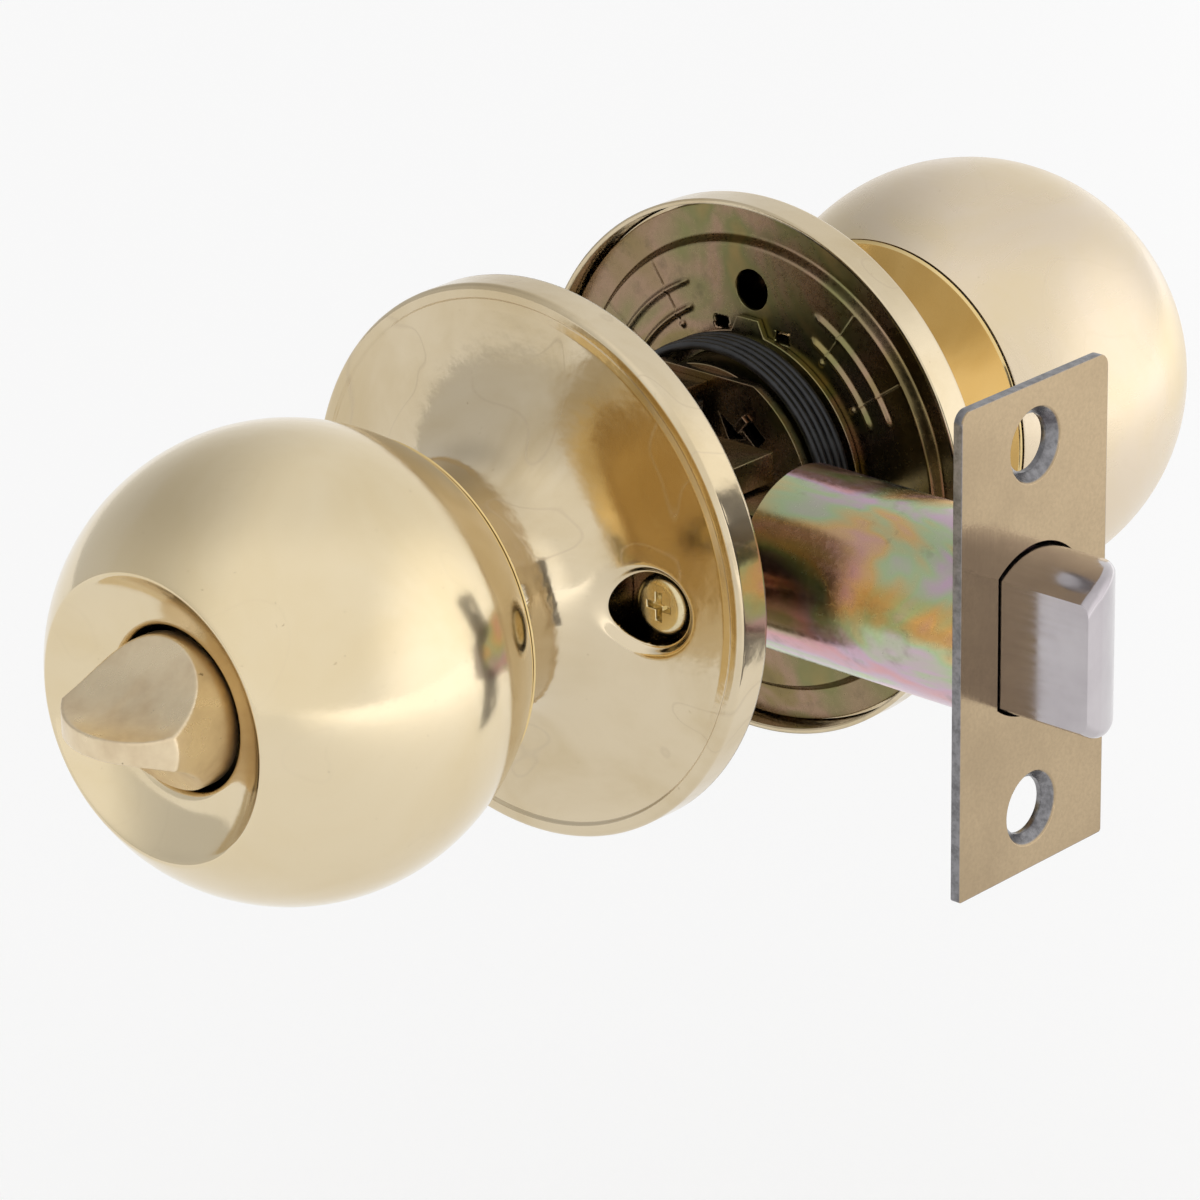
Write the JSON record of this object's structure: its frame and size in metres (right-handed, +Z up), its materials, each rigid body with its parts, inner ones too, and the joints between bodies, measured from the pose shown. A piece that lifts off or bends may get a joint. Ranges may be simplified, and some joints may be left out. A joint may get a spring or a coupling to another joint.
{
  "type": "door knob set",
  "caption": "Ball knob privacy set with thumb-turn, two round roses, tubular spring latch and faceplate, as it fits a door 34.5 mm thick.",
  "frame": {"origin": "where the knob axis and the latch axis cross, in the middle of the door's thickness", "axes": "+Y along the knob axis towards the outside of the door, +X along the latch axis towards the door's edge, +Z up"},
  "size_m": [0.1005, 0.1683, 0.065],
  "materials": {
    "polished_brass": "mirror-polished pale brass plate",
    "satin_brass": "satin brass, slightly worn",
    "plate_brass": "brushed tan brass plate with bare steel edges",
    "yellow_zinc_steel": "iridescent yellow zinc plate",
    "black_spring_steel": "black oxide, semi-gloss",
    "nickel": "nickel plate, lightly brushed",
    "bright_steel": "bright zinc plate",
    "brassed_screw_steel": "brass-plated steel",
    "black_plastic": "matt black nylon",
    "sintered_bronze": "oiled bronze"
  },
  "bodies": {
    "lock_case": {"inside_rose": "polished_brass", "inside_rose_liner": "yellow_zinc_steel", "inside_hub": "yellow_zinc_steel", "inside_hub_bush": "sintered_bronze", "inside_collar_ring": "yellow_zinc_steel", "inside_torsion_spring": "black_spring_steel", "inside_end_plate": "yellow_zinc_steel", "chassis_frame": "yellow_zinc_steel", "outside_end_plate": "yellow_zinc_steel", "outside_torsion_spring": "black_spring_steel", "outside_collar_ring": "yellow_zinc_steel", "outside_hub": "yellow_zinc_steel", "outside_hub_bush": "sintered_bronze", "outside_rose_liner": "yellow_zinc_steel", "outside_rose": "polished_brass", "screw_posts": "bright_steel", "mounting_screws": "brassed_screw_steel", "latch_faceplate": "plate_brass", "latch_tube": "yellow_zinc_steel", "tube_end_guide": "yellow_zinc_steel", "latch_spring": "bright_steel"},
    "inside_knob": {"inside_knob_shell": "polished_brass", "inside_knob_neck": "polished_brass", "inside_knob_core": "bright_steel", "inside_spindle_sleeve": "bright_steel", "inside_button_bush": "black_plastic", "drive_spindle": "bright_steel"},
    "lock_button": {"turn_button": "satin_brass", "lock_bar": "bright_steel", "lock_cam": "bright_steel", "emergency_plug": "satin_brass"},
    "outside_knob": {"outside_knob_shell": "polished_brass", "outside_knob_neck": "polished_brass", "outside_knob_core": "bright_steel", "outside_spindle_sleeve": "bright_steel", "outside_plug_bush": "black_plastic"},
    "retractor": {"retractor_slide": "yellow_zinc_steel"},
    "bolt": {"latch_bolt": "nickel", "latch_tail": "yellow_zinc_steel", "latch_pin": "bright_steel"}
  },
  "joints": [
    {"name": "inside_knob_turn", "type": "hinge", "parent": "lock_case", "child": "inside_knob", "pos_m": [0, -0.0587, 0], "axis": [0, 1, 0], "range_deg": [0, 60], "stiffness_Nm_per_rad": 0.35, "springref_deg": -20.05},
    {"name": "outside_knob_turn", "type": "hinge", "parent": "lock_case", "child": "outside_knob", "pos_m": [0, 0.0587, 0], "axis": [0, 1, 0], "range_deg": [0, 60]},
    {"name": "retractor_travel", "type": "slide", "parent": "lock_case", "child": "retractor", "axis": [-1, 0, 0], "range_m": [0, 0.012]},
    {"name": "bolt_travel", "type": "slide", "parent": "lock_case", "child": "bolt", "axis": [-1, 0, 0], "range_m": [0, 0.012], "deforming": ["latch_spring"]},
    {"name": "lock_button_turn", "type": "hinge", "parent": "inside_knob", "child": "lock_button", "pos_m": [0, -0.08, 0], "axis": [0, 1, 0], "range_deg": [0, 90]}
  ],
  "couplings": [
    {"joint": "outside_knob_turn", "follows": "inside_knob_turn", "ratio": 1},
    {"joint": "retractor_travel", "follows": "inside_knob_turn", "m_per_rad": 0.011459},
    {"joint": "bolt_travel", "follows": "inside_knob_turn", "m_per_rad": 0.011459}
  ]
}
